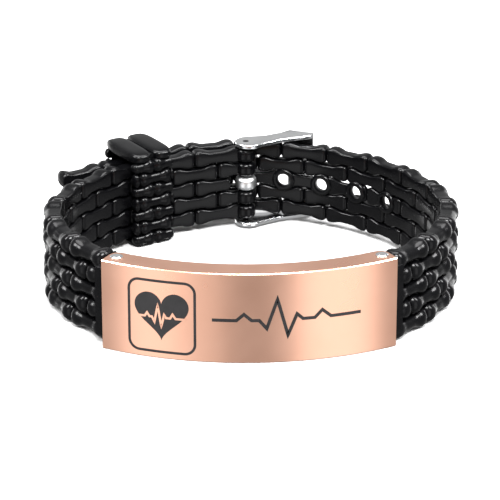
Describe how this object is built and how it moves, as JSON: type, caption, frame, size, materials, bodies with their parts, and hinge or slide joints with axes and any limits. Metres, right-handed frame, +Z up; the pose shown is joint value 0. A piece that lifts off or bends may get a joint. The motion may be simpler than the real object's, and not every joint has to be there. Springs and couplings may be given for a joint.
{
  "type": "medical alert bracelet",
  "caption": "Medical alert bracelet: curved metal identity plate on soft straps of bone shaped links, with a loose keeper and a pin buckle, fastened and standing on its edge.",
  "frame": {"origin": "middle of the ring's outline in plan, on the surface that it stands on", "axes": "+Z up along the ring's axis, across the wrist; -Y towards the identity plate's outer face; +Y towards the buckle; +X to the right as the plate is read"},
  "size_m": [0.0646, 0.0626, 0.016],
  "materials": {
    "rose_gold_steel": "polished steel with a rose gold plating, the engraved marks filled with black",
    "polished_steel": "polished stainless steel",
    "black_rubber": "satin black rubber"
  },
  "bodies": {
    "root": {"id_plate": "rose_gold_steel", "plate_pin_left": "polished_steel", "plate_pin_right": "polished_steel", "buckle_strap": "black_rubber", "hole_strap": "black_rubber", "keeper": "black_rubber", "buckle_frame": "polished_steel", "buckle_bar": "polished_steel", "buckle_prong": "polished_steel"}
  },
  "joints": []
}
